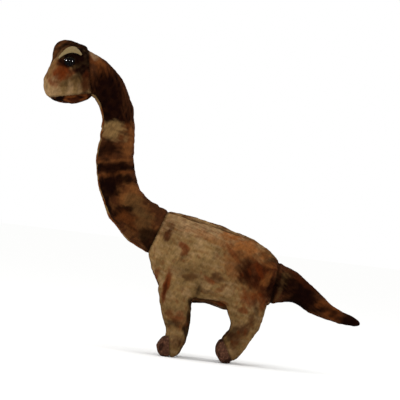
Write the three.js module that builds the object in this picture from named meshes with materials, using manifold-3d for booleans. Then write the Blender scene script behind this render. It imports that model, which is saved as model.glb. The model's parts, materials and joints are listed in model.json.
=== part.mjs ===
// A stuffed long-necked dinosaur, sewn from plush panels over separate wads of fibre filling.
// Millimetres, +Z up, nose towards -X, the toy's left side at -Y. The origin is on the floor,
// under the middle of the toy. Every sewn tube is a loft: a row of sections, each spanned
// between two points of the side outline and a half width across the toy.
import * as THREE from "three";
import { mergeVertices } from "three/addons/utils/BufferGeometryUtils.js";
import Module from "manifold-3d";

const wasm = await Module();
wasm.setup();

// ---- Driving dimensions ----
const CLOTH = 2.0; // plush with its pile pressed down
const GAP = 0.3; // between pieces that only touch
const SQUARENESS = 2.4; // exponent of the sections: 2 is an ellipse
const FAR = 400; // reach of the cutting blocks
const LEFT = -1;
const RIGHT = 1;

// ---- Side outline and widths ----
// Each section is [front or lower point x, z, back or upper point x, z, half width].
const NECK = [
  [-134, 274.5, -142.5, 322, 19.5],
  [-128.5, 270.5, -122.5, 316, 19.5],
  [-124, 263, -101, 296, 18.3],
  [-119.5, 250, -86, 266, 17.5],
  [-118.5, 240, -82, 244, 17.5],
  [-120.5, 222, -80.5, 222, 19],
  [-120.5, 203, -78, 200, 20],
  [-113.5, 170.5, -70, 181, 20.8],
  [-100, 144, -56.5, 167, 22],
  [-76, 120, -44, 161.5, 24.5],
];
const TRUNK = [
  [-52, 109.5, -35.5, 157.7, 27.5],
  [-42.5, 84, -20.5, 157.3, 31.5],
  [-30.5, 67, -4.5, 155.2, 34.5],
  [-7.5, 61, 12.5, 152, 36.5],
  [17.5, 60.3, 29.5, 147.6, 37],
  [39.5, 57.5, 47.5, 143.5, 36.5],
  [59.5, 58, 63.5, 137.5, 33.5],
  [74.5, 63, 78, 130, 28],
];
const TAIL = [
  [89, 68.8, 93.3, 117.5, 21.5],
  [103, 73, 109, 110, 17.5],
  [114, 74, 124.5, 101, 14.5],
  [129.5, 66.5, 141.5, 88, 12],
  [145.5, 60.5, 155.5, 78, 9.5],
  [161.5, 57, 169.5, 71.5, 7.5],
  [175.5, 56, 181.5, 66.5, 5.5],
  [186, 57.5, 188.5, 62.5, 2.5],
];
const SPINE = [...NECK, ...TRUNK, ...TAIL];
const HEAD = [
  [-167, 262, -154, 262, 6],
  [-179.5, 266, -144, 266, 14],
  [-184.5, 271, -137, 271, 18.5],
  [-187.5, 278, -132, 278, 21.5],
  [-188.8, 286, -130, 286, 23],
  [-186.8, 294, -129, 294, 23],
  [-183.8, 302, -129, 302, 22.5],
  [-182.5, 310, -130.5, 310, 21],
  [-182.3, 318, -134, 318, 18.5],
  [-180, 325, -140, 325, 14.5],
  [-174, 330, -151, 330, 9],
  [-168, 332, -158, 332, 4],
];
const FRONT_LEG = {
  name: "front",
  across: 20,
  pivot: [-15.5, 61],
  swing: 18.4,
  capSeam: [-18.4, 20.5, -15.6, 0.4],
  sections: [
    [-30, 88, -4, 90, 9],
    [-36.5, 75, 2, 75, 13],
    [-33.5, 60, 2.5, 60, 14],
    [-28, 45, 3.5, 45, 13.5],
    [-23, 34, 3.2, 34, 12.8],
    [-21.8, 26, 2.3, 23, 12.6],
    [-26.5, 19, 1, 15.5, 12.8],
    [-30.5, 12, -2, 9, 13],
    [-28.8, 5, -6.8, 3.3, 12],
    [-24.5, 0, -10.5, 0, 8.5],
  ],
};
const REAR_LEG = {
  name: "rear",
  across: 20,
  pivot: [63, 52],
  swing: 20,
  capSeam: [41.3, 23.9, 53.9, 1],
  sections: [
    [42, 94, 78, 97, 9],
    [36, 77, 86, 79, 13.5],
    [40, 63, 84.5, 65, 15],
    [43.5, 54.5, 82.8, 57, 15],
    [47.5, 46, 80.5, 47, 14.5],
    [46.8, 37, 77, 36, 13.8],
    [43.5, 31, 71.5, 26.5, 13.4],
    [38, 25.5, 66, 18, 13],
    [33.3, 18, 61, 10, 13],
    [33.5, 10.5, 55.5, 4, 12.5],
    [41, 0, 52.5, 0, 8],
  ],
};

// ---- Sewing lines ----
// Half widths of the back and belly gussets at each trunk section, and of the throat gusset.
const BACK_GUSSET = [3, 8, 11, 13.5, 15, 15.5, 14, 10];
const BELLY_GUSSET = [9, 14, 19, 22, 22, 22, 17, 11];
const THROAT_WIDTH = 9;
const JAW_SEAM = [-181.5, 267.8, -135, 278.2];
const CROWN_RIBBON = [
  [-200, 290, -168, 292, 1.5],
  [-200, 303, -163, 301, 8],
  [-196, 320, -161, 303, 12.5],
  [-182, 345, -158, 303, 14.5],
  [-162, 350, -154, 303, 14.5],
  [-142, 345, -148, 301, 13],
  [-118, 340, -128, 298, 9],
];
const LEG_SEAM_OUT = 2; // the leg seams stand this far outside the leg's middle

// ---- Flex points: [x, z] of the hinge, and the radius that the ball and cup share ----
const NECK_BALL = [-51.3, 136.2, 26.7];
const HEAD_BALL = [-131.4, 299.6, 25.2];
const TAIL_BALL = [105, 92.5, 25.9];
const NOD_DOWN = THREE.MathUtils.degToRad(10);
const FLEX_FACETS = 32;

// ---- Eyes ----
const EYE = { x: -161.3, z: 307.8, y: 22.4, radius: 6, height: 4.6, stem: 2, stemLength: 13 };
const WASHER = { radius: 5.4, bore: 2.3, thickness: 1.6, depth: 4.2 + CLOTH };
const LID_OUTER = [-175.8, 305, -162.3, 327, -148.5, 316.5];
const LID_INNER = [-170, 311.5, -161, 319, -149.5, 317];
const LID_CLOTH = 1.2;

// ---- Solids ----
function solid(geometry) {
  const bare = geometry.index ? geometry.toNonIndexed() : geometry.clone();
  bare.deleteAttribute("normal");
  bare.deleteAttribute("uv");
  const merged = mergeVertices(bare, 1e-4);
  const made = new wasm.Manifold(
    new wasm.Mesh({
      numProp: 3,
      vertProperties: merged.attributes.position.array,
      triVerts: new Uint32Array(merged.index.array),
    }),
  );
  return made;
}

// A closed surface through rings of points, with a fan at each end, its faces pointing out.
function skin(rings) {
  const sides = rings[0].length;
  const points = rings.flat();
  const triangles = [];
  for (let i = 0; i + 1 < rings.length; i++)
    for (let j = 0; j < sides; j++) {
      const a = i * sides + j;
      const b = i * sides + ((j + 1) % sides);
      triangles.push([a, b, a + sides], [b, b + sides, a + sides]);
    }
  for (const [first, turned] of [[0, true], [(rings.length - 1) * sides, false]]) {
    const middle = new THREE.Vector3();
    for (let j = 0; j < sides; j++) middle.addScaledVector(points[first + j], 1 / sides);
    points.push(middle);
    for (let j = 0; j < sides; j++) {
      const a = first + j;
      const b = first + ((j + 1) % sides);
      triangles.push(turned ? [b, a, points.length - 1] : [a, b, points.length - 1]);
    }
  }
  let volume = 0;
  for (const [a, b, c] of triangles)
    volume += points[a].dot(new THREE.Vector3().crossVectors(points[b], points[c]));
  const order = volume < 0 ? triangles.map(([a, b, c]) => [a, c, b]) : triangles;
  return new THREE.BufferGeometry().setFromPoints(points).setIndex(order.flat());
}

// Sections made smaller all round by inset. An end marked open runs on past its seam by 8 mm,
// so that a cut at the seam leaves the tube open, and a closed end moves in by the inset.
function shrunk(sections, inset, openStart, openEnd) {
  const frames = sections.map(([x0, z0, x1, z1, half]) => ({
    middle: new THREE.Vector2((x0 + x1) / 2, (z0 + z1) / 2),
    reach: new THREE.Vector2((x1 - x0) / 2, (z1 - z0) / 2),
    half,
  }));
  const last = frames.length - 1;
  const runOn = 8;
  const ended = (frame, next, open) => {
    const along = next.middle.clone().sub(frame.middle).normalize();
    const shift = open ? -runOn : inset;
    return { ...frame, middle: frame.middle.clone().addScaledVector(along, shift) };
  };
  const first = ended(frames[0], frames[1], openStart);
  const final = ended(frames[last], frames[last - 1], openEnd);
  const inner = frames.slice(openStart ? 0 : 1, openEnd ? last + 1 : last);
  return [first, ...inner, final].map(({ middle, reach, half }) => ({
    middle,
    reach: reach.clone().setLength(Math.max(reach.length() - inset, 0.6)),
    half: Math.max(half - inset, 0.6),
  }));
}

// One sewn tube. Each ring is a rounded rectangle between an ellipse and a box, turned by
// half a facet so that the seams down the middle of the toy run across facets.
function loft(sections, { inset = 0, sides = 16, across = 0, openStart = false, openEnd = false } = {}) {
  const power = 2 / SQUARENESS;
  const bent = (value) => Math.sign(value) * Math.abs(value) ** power;
  const rings = shrunk(sections, inset, openStart, openEnd).map(({ middle, reach, half }) =>
    Array.from({ length: sides }, (_, j) => {
      const angle = (2 * Math.PI * (j + 0.5)) / sides;
      const u = bent(Math.cos(angle));
      const v = bent(Math.sin(angle));
      return new THREE.Vector3(middle.x + reach.x * u, across + half * v, middle.y + reach.y * u);
    }),
  );
  return solid(skin(rings));
}

// A ribbon-shaped block that cuts a gusset out of a tube: from outside the first or second
// outline point of each section to the section's middle, with its own half width.
function ribbon(sections, widths, onFirst, grow) {
  const reachOut = 1.3;
  const rings = sections.map(([x0, z0, x1, z1], i) => {
    const middle = new THREE.Vector2((x0 + x1) / 2, (z0 + z1) / 2);
    const edge = onFirst ? new THREE.Vector2(x0, z0) : new THREE.Vector2(x1, z1);
    const outside = middle.clone().lerp(edge, reachOut);
    const w = widths[i] + grow;
    return [
      new THREE.Vector3(middle.x, -w, middle.y),
      new THREE.Vector3(outside.x, -w, outside.y),
      new THREE.Vector3(outside.x, w, outside.y),
      new THREE.Vector3(middle.x, w, middle.y),
    ];
  });
  const runPast = -1.4;
  const extended = (ring, next) =>
    ring.map((p, k) => p.clone().addScaledVector(next[k].clone().sub(p), runPast));
  const last = rings.length - 1;
  return solid(
    skin([extended(rings[0], rings[1]), ...rings.slice(1, last), extended(rings[last], rings[last - 1])]),
  );
}

// Everything on one side of a plane that runs across the toy through (x, z), in direction angle.
function beyond(x, z, angle) {
  const block = new THREE.BoxGeometry(FAR, FAR, FAR);
  return solid(block.translate(FAR / 2, 0, 0).rotateY(-angle).translate(x, 0, z));
}

function drumAcross([x, z, radius], grow, width = FAR, across = 0) {
  const drum = new THREE.CylinderGeometry(radius + grow, radius + grow, width, FLEX_FACETS);
  return solid(drum.translate(x, across, z));
}

function drumUpright([x, z, radius], grow) {
  const drum = new THREE.CylinderGeometry(radius + grow, radius + grow, FAR, FLEX_FACETS);
  return solid(drum.rotateX(Math.PI / 2).translate(x, 0, z));
}

// The half of space at y beyond offset, on one side of the toy.
function sideOf(side, offset = GAP / 2) {
  const block = new THREE.BoxGeometry(FAR * 2, FAR, FAR * 2);
  return solid(block.translate(0, side * (FAR / 2 + offset), 150));
}

// The largest body of a solid: offcuts too small to sew are dropped.
function largest(made) {
  return made.decompose().reduce((best, body) => (body.volume() > best.volume() ? body : best));
}

// ---- Seam planes ----
function seamOf([x0, z0, x1, z1]) {
  const along = Math.atan2(z1 - z0, x1 - x0);
  return { x: (x0 + x1) / 2, z: (z0 + z1) / 2, ahead: along - Math.PI / 2, behind: along + Math.PI / 2 };
}
// The half of space ahead of a seam, towards the tail, or behind it, moved off by shift.
function half(seam, way, shift = 0) {
  const angle = seam[way];
  return beyond(seam.x + Math.cos(angle) * shift, seam.z + Math.sin(angle) * shift, angle);
}
const neckSeam = seamOf(TRUNK[0]);
const headSeam = seamOf(NECK[0]);
const tailSeam = seamOf(TAIL[0]);
const upByHead = beyond(HEAD_BALL[0], HEAD_BALL[1] - 45, Math.PI / 2);

// ---- The stuffed forms, each at any inset from the outside of the cloth ----
const LEGS = [FRONT_LEG, REAR_LEG].flatMap((leg) =>
  [LEFT, RIGHT].map((side) => ({
    ...leg,
    side,
    name: leg.name + (side === LEFT ? "_left" : "_right"),
    ball: [...leg.pivot, leg.swing],
    widest: Math.max(...leg.sections.map((s) => s[4])),
  })),
);
const spineForm = (inset) => loft(SPINE, { inset, sides: 16, openStart: true });
const headForm = (inset) => loft(HEAD, { inset, sides: 16 });
const legForm = (leg, inset) => loft(leg.sections, { inset, sides: 12, across: leg.side * leg.across });
const trunkForm = (inset) =>
  LEGS.reduce((made, leg) => made.add(legForm(leg, inset)), spineForm(inset));

// ---- Where each stuffed form is divided at the flex points ----
const belowHip = (leg) => beyond(...leg.pivot, -Math.PI / 2);
const legRegion = (leg) => drumAcross(leg.ball, 0).add(belowHip(leg));
const socket = (leg) =>
  drumAcross(leg.ball, GAP, 2 * (leg.widest + GAP), leg.side * leg.across)
    .add(legForm(leg, -GAP).intersect(belowHip(leg)));
const trunkRegion = LEGS.reduce(
  (made, leg) => made.subtract(socket(leg)),
  half(neckSeam, "ahead", GAP)
    .intersect(half(tailSeam, "behind", GAP))
    .subtract(drumAcross(NECK_BALL, GAP))
    .subtract(drumUpright(TAIL_BALL, GAP)),
);
const tailRegion = half(tailSeam, "ahead").add(drumUpright(TAIL_BALL, 0));

// Room below the chin lets the head nod before the cloth of the throat is met.
function chinRoom() {
  const seam = new THREE.Vector2(headSeam.x, headSeam.z);
  const turned = seam.rotateAround(new THREE.Vector2(HEAD_BALL[0], HEAD_BALL[1]), NOD_DOWN);
  return beyond(turned.x, turned.y, headSeam.behind + NOD_DOWN)
    .intersect(upByHead)
    .subtract(drumAcross(HEAD_BALL, -GAP));
}
const neckRegion = half(neckSeam, "behind")
  .add(drumAcross(NECK_BALL, 0))
  .subtract(half(headSeam, "behind").intersect(upByHead))
  .subtract(chinRoom());
const headRegion = half(headSeam, "behind", GAP).intersect(upByHead).subtract(drumAcross(HEAD_BALL, 0));
const nodRegion = half(headSeam, "behind", -GAP).intersect(drumAcross(HEAD_BALL, -GAP));

const clothOf = (form) => form(0).subtract(form(CLOTH));
const fillingOf = (form) => form(CLOTH + GAP);

// The neck also carries the ball of cloth and filling that the head nods on. The two forms
// run into each other a little at the seam, and there each cloth stays clear of both fillings.
const atNod = (inset) => headForm(inset).intersect(half(headSeam, "ahead"));
const atNape = (inset) => spineForm(inset).intersect(half(headSeam, "ahead"));
const clear = CLOTH + GAP / 2;
const neckCloth = clothOf(spineForm)
  .intersect(neckRegion)
  .subtract(atNod(clear).intersect(half(headSeam, "behind", -3 * GAP)))
  .add(clothOf(headForm).intersect(nodRegion).subtract(atNape(clear)));
const neckFilling = fillingOf(spineForm)
  .intersect(neckRegion)
  .add(fillingOf(headForm).intersect(nodRegion));

// ---- Looks and the exported group ----
const finish = (color, roughness, metalness = 0) =>
  new THREE.MeshStandardMaterial({ color, roughness, metalness });
const PRINTED_PLUSH = finish(0x7a5e38, 0.9);
const DARK_PLUSH = finish(0x4d3223, 0.9);
const FELT = finish(0x9a8458, 0.95);
const FIBRE = finish(0xeeeae0, 1);
const EYE_PLASTIC = finish(0x0b0a0a, 0.12);
const WASHER_PLASTIC = finish(0xe6e4dc, 0.4);

const dinosaur = new THREE.Group();
function addNode(name, made, material) {
  const { vertProperties, numProp, numVert, triVerts } = largest(made).getMesh();
  const points = Array.from({ length: numVert }, (_, i) =>
    new THREE.Vector3().fromArray(vertProperties, i * numProp),
  );
  const geometry = new THREE.BufferGeometry().setFromPoints(points);
  geometry.setIndex(Array.from(triVerts));
  geometry.computeVertexNormals();
  const mesh = new THREE.Mesh(geometry, material);
  mesh.name = name;
  dinosaur.add(mesh);
}

// A gusset, and the left and right panels that are left beside it.
function sewnPanels(cloth, cutters, names) {
  let rest = cloth;
  for (const { name, cut } of cutters) {
    addNode(name, cloth.intersect(cut(-GAP / 2)), PRINTED_PLUSH);
    rest = rest.subtract(cut(GAP / 2));
  }
  addNode(names[0], rest.intersect(sideOf(LEFT)), PRINTED_PLUSH);
  addNode(names[1], rest.intersect(sideOf(RIGHT)), PRINTED_PLUSH);
}

// ---- Trunk ----
sewnPanels(
  clothOf(trunkForm).intersect(trunkRegion),
  [
    { name: "back_gusset", cut: (grow) => ribbon(TRUNK, BACK_GUSSET, false, grow) },
    { name: "belly_gusset", cut: (grow) => ribbon(TRUNK, BELLY_GUSSET, true, grow) },
  ],
  ["body_side_left", "body_side_right"],
);
addNode("trunk_filling", fillingOf(trunkForm).intersect(trunkRegion), FIBRE);

// ---- Neck ----
const throatWidths = NECK.map(() => THROAT_WIDTH);
sewnPanels(
  neckCloth,
  [{ name: "throat_gusset", cut: (grow) => ribbon(NECK, throatWidths, true, grow) }],
  ["neck_side_left", "neck_side_right"],
);
addNode("neck_filling", neckFilling, FIBRE);

// ---- Tail ----
sewnPanels(clothOf(spineForm).intersect(tailRegion), [], ["tail_side_left", "tail_side_right"]);
addNode("tail_filling", fillingOf(spineForm).intersect(tailRegion), FIBRE);

// ---- Head ----
const jaw = seamOf(JAW_SEAM);
const crownCut = (grow) => {
  const rings = CROWN_RIBBON.map(([x0, z0, x1, z1, w]) => [
    new THREE.Vector3(x1, -w - grow, z1),
    new THREE.Vector3(x0, -w - grow, z0),
    new THREE.Vector3(x0, w + grow, z0),
    new THREE.Vector3(x1, w + grow, z1),
  ]);
  return solid(skin(rings));
};

// A part of the eye, turned on a lathe about its own stem and pointed out of one side.
function turnedOnStem(profile, side) {
  const points = profile.map(([r, out]) => new THREE.Vector2(r, out));
  const turned = new THREE.LatheGeometry(points, 16);
  const pointed = side === LEFT ? turned.rotateZ(Math.PI) : turned;
  return solid(pointed.translate(EYE.x, side * EYE.y, EYE.z));
}

// The dome is a cap of a sphere, drawn as a few points of its arc from pole to rim.
function eyeProfile() {
  const ballRadius = (EYE.radius ** 2 + EYE.height ** 2) / (2 * EYE.height);
  const rimAngle = Math.asin(EYE.radius / ballRadius);
  const steps = 4;
  const arc = Array.from({ length: steps + 1 }, (_, i) => {
    const angle = (rimAngle * (steps - i)) / steps;
    const out = EYE.height - ballRadius * (1 - Math.cos(angle));
    return [i === steps ? 0 : ballRadius * Math.sin(angle), out + 0.6];
  });
  return [[0, -EYE.stemLength], [EYE.stem, -EYE.stemLength], [EYE.stem, 0], [EYE.radius, 0], ...arc];
}

const drilled = (radius, depth) => [[0, -depth], [radius, -depth], [radius, 3], [0, 3]];
const washerSeat = [
  [0, -WASHER.depth - WASHER.thickness - GAP],
  [WASHER.radius + GAP, -WASHER.depth - WASHER.thickness - GAP],
  [WASHER.radius + GAP, 3],
  [0, 3],
];
const washerProfile = [
  [WASHER.bore, -WASHER.depth - WASHER.thickness],
  [WASHER.radius, -WASHER.depth - WASHER.thickness],
  [WASHER.radius, -WASHER.depth],
  [WASHER.bore, -WASHER.depth],
  [WASHER.bore, -WASHER.depth - WASHER.thickness],
];
const bothSides = (profile) =>
  turnedOnStem(profile, LEFT).add(turnedOnStem(profile, RIGHT));

const headCloth = clothOf(headForm)
  .intersect(headRegion)
  .subtract(bothSides(drilled(EYE.stem + GAP, 8)));
addNode("jaw_panel", headCloth.intersect(half(jaw, "ahead", GAP / 2)), PRINTED_PLUSH);
sewnPanels(
  headCloth.intersect(half(jaw, "behind", GAP / 2)),
  [{ name: "crown_gusset", cut: crownCut }],
  ["cheek_left", "cheek_right"],
);
const eyeRoom = bothSides(drilled(EYE.stem + GAP, EYE.stemLength + GAP)).add(bothSides(washerSeat));
addNode("head_filling", fillingOf(headForm).intersect(headRegion).subtract(eyeRoom), FIBRE);

// An eyelid is a crescent of felt that follows the outside of the head.
function lidBlock(side) {
  const arc = ([x0, z0, x1, z1, x2, z2]) =>
    new THREE.QuadraticBezierCurve(
      new THREE.Vector2(x0, -z0),
      new THREE.Vector2(2 * x1 - (x0 + x2) / 2, -(2 * z1 - (z0 + z2) / 2)),
      new THREE.Vector2(x2, -z2),
    ).getPoints(8);
  const outline = new THREE.Shape([...arc(LID_OUTER), ...arc(LID_INNER).reverse()]);
  const block = new THREE.ExtrudeGeometry(outline, { depth: 40, bevelEnabled: false });
  return solid(block.rotateX(-Math.PI / 2).translate(0, side === LEFT ? -42 : 2, 0));
}

for (const [side, word] of [[LEFT, "left"], [RIGHT, "right"]]) {
  const lid = headForm(-GAP - LID_CLOTH)
    .subtract(headForm(-GAP))
    .intersect(lidBlock(side))
    .subtract(drumAcross(HEAD_BALL, GAP));
  addNode("eyelid_" + word, lid, FELT);
  addNode("eye_" + word, turnedOnStem(eyeProfile(), side), EYE_PLASTIC);
  addNode("eye_washer_" + word, turnedOnStem(washerProfile, side), WASHER_PLASTIC);
}

// ---- Legs ----
// The toe cap is the cloth ahead of its own seam and below the ankle.
for (const leg of LEGS) {
  const form = (inset) => legForm(leg, inset);
  const cloth = clothOf(form).intersect(legRegion(leg));
  const cap = seamOf(leg.capSeam);
  const ankle = leg.capSeam[1] + 2;
  const toe = (grow) =>
    half(cap, "ahead", -grow).intersect(beyond(cap.x, ankle + grow, -Math.PI / 2));
  addNode("foot_cap_" + leg.name, cloth.intersect(toe(-GAP / 2)), DARK_PLUSH);
  const upper = cloth.subtract(toe(GAP / 2));
  const seam = leg.across + LEG_SEAM_OUT;
  addNode("leg_outer_" + leg.name, upper.intersect(sideOf(leg.side, seam + GAP / 2)), PRINTED_PLUSH);
  addNode("leg_inner_" + leg.name, upper.intersect(sideOf(-leg.side, GAP / 2 - seam)), PRINTED_PLUSH);
  addNode("leg_filling_" + leg.name, fillingOf(form).intersect(legRegion(leg)), FIBRE);
}

export default dinosaur;
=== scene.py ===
"""A stuffed long-necked dinosaur: printed plush panels sewn over wads of fibre filling.

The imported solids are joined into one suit, which is remeshed, filled by cloth pressure with its
seams held in, subdivided, and then cut along the sewing lines into panels of real cloth.
Lengths in the settings are metres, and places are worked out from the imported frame.
"""

import json
import math

import bmesh
import bpy
import numpy as np
from bpy.props import FloatProperty, IntProperty, PointerProperty, StringProperty
from mathutils import Matrix, Vector
from mathutils.bvhtree import BVHTree


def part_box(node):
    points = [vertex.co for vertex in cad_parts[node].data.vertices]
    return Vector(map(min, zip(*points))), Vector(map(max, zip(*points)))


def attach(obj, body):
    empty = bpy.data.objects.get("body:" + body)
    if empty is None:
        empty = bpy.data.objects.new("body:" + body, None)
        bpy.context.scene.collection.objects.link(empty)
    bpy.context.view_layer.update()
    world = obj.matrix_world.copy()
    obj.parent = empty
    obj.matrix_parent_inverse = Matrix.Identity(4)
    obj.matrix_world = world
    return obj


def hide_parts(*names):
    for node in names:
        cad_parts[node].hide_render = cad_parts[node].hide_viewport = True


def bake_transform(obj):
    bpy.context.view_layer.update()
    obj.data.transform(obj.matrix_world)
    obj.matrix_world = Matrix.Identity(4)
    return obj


bl_info = {
    "name": "Plush dinosaur",
    "version": (1, 0, 0),
    "blender": (4, 5, 0),
    "location": "View3D > Sidebar > Plush dinosaur",
    "description": "Makes the cloth, filling and eyes of a stuffed dinosaur around its packed frame",
    "category": "Object",
}

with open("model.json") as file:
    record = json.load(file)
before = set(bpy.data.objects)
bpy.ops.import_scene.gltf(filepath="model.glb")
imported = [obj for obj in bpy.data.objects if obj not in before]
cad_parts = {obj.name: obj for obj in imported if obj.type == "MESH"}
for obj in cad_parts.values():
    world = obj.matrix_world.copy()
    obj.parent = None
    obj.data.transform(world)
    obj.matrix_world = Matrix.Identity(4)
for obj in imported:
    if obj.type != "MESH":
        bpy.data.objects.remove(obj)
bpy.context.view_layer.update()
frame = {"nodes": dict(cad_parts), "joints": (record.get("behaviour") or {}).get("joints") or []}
JOINTS = {j["name"]: j for j in frame["joints"]}
NODES = frame["nodes"]
MM = 0.001
SIDES = ("left", "right")
LEGS = ("front_left", "front_right", "rear_left", "rear_right")


# ---- Places, from the frame ----
class Seam:
    """A flat sewing line round the toy: it crosses the middle plane at a point, and faces a way.

    ahead(p) = (p - point) . way, in metres, is positive on the side that the seam faces.
    """

    def __init__(self, point, degrees):
        angle = math.radians(degrees)
        self.point = np.array(point, float)
        self.way = np.array([math.cos(angle), 0.0, math.sin(angle)])

    def ahead(self, p):
        return (p - self.point) @ self.way

    def moved(self, distance):
        return self.point + self.way * distance


def seam_by_joint(name, degrees, offset):
    """The seam that faces degrees, and lies offset from the joint that flexes it."""
    way = np.array([math.cos(math.radians(degrees)), 0.0, math.sin(math.radians(degrees))])
    return Seam(np.array(JOINTS[name]["pos_m"]) + way * offset, degrees)


def pivot(name):
    return np.array(JOINTS[name]["pos_m"], float)


NECK_SEAM = seam_by_joint("neck_bend", 161.1, -8 * MM)
HEAD_SEAM = seam_by_joint("head_nod", 190.1, 7 * MM)
TAIL_SEAM = seam_by_joint("tail_wag", -5.0, -14 * MM)
CHIN_HEIGHT = pivot("head_nod")[2] - 45 * MM
NECK_SPLIT = pivot("head_nod")[2] - 64 * MM
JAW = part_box("jaw_panel")
JAW_SEAM = Seam((JAW[1].x, 0, JAW[1].z), -77.4)
HEAD_BOX = (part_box("cheek_left")[0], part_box("crown_gusset")[1])
TRUNK_BOX = (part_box("body_side_left")[0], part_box("body_side_right")[1])
TRUNK_MIDDLE = (TRUNK_BOX[0].z + TRUNK_BOX[1].z) / 2
EYE_BOX = {side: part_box("eye_" + side) for side in SIDES}
FRONT_CUT = pivot("leg_front_left_swing")[2] - 3.5 * MM
REAR_CUT = pivot("leg_rear_left_swing")[2] + 2.5 * MM
BETWEEN_LEGS = (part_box("leg_outer_front_left")[1].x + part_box("leg_outer_rear_left")[0].x) / 2
CAP_LINE = {
    "front": Seam((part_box("foot_cap_front_left")[1].x + 0.5 * MM, 0, 0), -172.1),
    "rear": Seam((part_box("foot_cap_rear_left")[1].x + 1.5 * MM, 0, 0), -151.2),
}
LEG_SEAM_Y = 22 * MM
THROAT_WIDTH = 9 * MM
EYE_DOME = 4.6 * MM


# ---- Settings that a user would change ----
def length(name, text, default):
    return FloatProperty(name=name, description=text, default=default, unit="LENGTH", subtype="DISTANCE")


def colour(name, text, default):
    return StringProperty(name=name, description=text, default=default)


class ClothSettings(bpy.types.PropertyGroup):
    """Sizes of the cloth and of how it is sewn and filled."""

    voxel: length("Remesh size", "Edge length of the suit before it is filled", 2.3 * MM)
    swell: length("Swell", "The most that filling pushes the cloth out between seams", 2.6 * MM)
    thickness: length("Cloth thickness", "Backing and flattened pile together", 1.5 * MM)
    seam_depth: length("Seam depth", "How far a seam lies below the cloth beside it", 1.5 * MM)
    seam_width: length("Seam width", "Half width of the groove along a seam", 1.5 * MM)
    stitch: length("Pucker spacing", "Distance between the puckers along a seam", 6.5 * MM)
    frames: IntProperty(name="Filling frames", description="Steps of the cloth simulation", default=14)
    pressure: FloatProperty(name="Pressure", description="Pressure of the filling", default=4.0)


class DyeSettings(bpy.types.PropertyGroup):
    """Colours of the printed plush, the caps, the felt and the filling, as sRGB hex."""

    tan: colour("Ground", "The sandy ground of the print", "735936")
    pale: colour("Pale", "Faded streaks along the back", "937555")
    rust: colour("Rust", "Rusty strokes", "501f06")
    orange: colour("Orange", "Worn orange patches", "5c3012")
    amber: colour("Amber", "Lighter patches of worn orange", "784822")
    brown: colour("Brown", "Brown clouds", "321305")
    dark: colour("Dark", "Nearly black bands", "0f0301")
    grey: colour("Grey", "Grey brown clouds", "49341b")
    crown: colour("Crown", "Plush of the crown", "33200f")
    cap: colour("Caps", "Plush of the toe caps", "452c20")
    felt: colour("Felt", "Eyelid felt", "857049")
    fibre: colour("Fibre", "Polyester filling", "efece4")


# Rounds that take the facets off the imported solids.
SOFTEN = (0.5, -0.52) * 9 + (0.5, 0.5)


# ---- Small tools ----
def linear(text):
    """An sRGB hex colour as linear RGB: c / 12.92 below 0.04045, else ((c + 0.055) / 1.055) ^ 2.4."""
    c = np.array([int(text[i : i + 2], 16) / 255 for i in (0, 2, 4)])
    return np.where(c <= 0.04045, c / 12.92, ((c + 0.055) / 1.055) ** 2.4)


def ease(a, b, x):
    """Smoothstep of x from a to b: t * t * (3 - 2 t), with t = (x - a) / (b - a) kept in 0..1."""
    t = np.clip((x - a) / (b - a), 0, 1)
    return t * t * (3 - 2 * t)


def ripple(p, size, seed, waves=9):
    """Smooth noise in about -1..1: a sum of sines whose wave vectors point at random ways and
    whose wavelengths lie round size, divided by the root of half their number."""
    rng = np.random.default_rng(seed)
    ways = rng.normal(size=(waves, 3))
    ways /= np.linalg.norm(ways, axis=1)[:, None]
    rates = 2 * np.pi / (size * rng.uniform(0.7, 1.5, waves))
    shifts = rng.uniform(0, 2 * np.pi, waves)
    return np.sin(p @ (ways * rates[:, None]).T + shifts).sum(1) / math.sqrt(waves / 2)


def shaded_smooth(mesh):
    mesh.polygons.foreach_set("use_smooth", np.ones(len(mesh.polygons), bool))
    return mesh


def new_mesh(name, points, faces):
    mesh = bpy.data.meshes.new(name)
    mesh.from_pydata(points.tolist(), [], faces if isinstance(faces, list) else faces.tolist())
    mesh.update()
    return shaded_smooth(mesh)


def new_piece(name, mesh):
    piece = bpy.data.objects.new(name, mesh)
    bpy.context.scene.collection.objects.link(piece)
    return piece


def points_of(mesh):
    co = np.empty(len(mesh.vertices) * 3, np.float32)
    mesh.vertices.foreach_get("co", co)
    return co.reshape(-1, 3).astype(float)


def move_points(mesh, points):
    mesh.vertices.foreach_set("co", points.astype(np.float32).ravel())
    mesh.update()


def triangles_of(mesh):
    mesh.calc_loop_triangles()
    tris = np.empty(len(mesh.loop_triangles) * 3, np.int32)
    mesh.loop_triangles.foreach_get("vertices", tris)
    return tris.reshape(-1, 3)


def edges_of(mesh):
    edges = np.empty(len(mesh.edges) * 2, np.int32)
    mesh.edges.foreach_get("vertices", edges)
    return edges.reshape(-1, 2)


def normals_of(mesh):
    normals = np.empty(len(mesh.vertices) * 3, np.float32)
    mesh.vertex_normals.foreach_get("vector", normals)
    return normals.reshape(-1, 3).astype(float)


def evaluated(piece):
    """The piece's mesh with its modifiers applied, as a new mesh."""
    graph = bpy.context.evaluated_depsgraph_get()
    return bpy.data.meshes.new_from_object(piece.evaluated_get(graph))


def bake_modifiers(piece):
    old = piece.data
    made = evaluated(piece)
    piece.modifiers.clear()
    piece.data = made
    bpy.data.meshes.remove(old)


def relax(points, edges, pulls):
    """Smoothing in rounds: each moves a point by its pull towards the mean of its neighbours. Pulls
    that are in turn above and below 0 take corners away, and leave the whole as big as it was."""
    a, b = edges.T
    count = np.bincount(np.r_[a, b], minlength=len(points))[:, None]
    for pull in pulls:
        total = np.stack(
            [np.bincount(np.r_[a, b], np.r_[points[b, k], points[a, k]], len(points)) for k in range(3)], 1
        )
        points = points + pull * (total / count - points)
    return points


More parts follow.
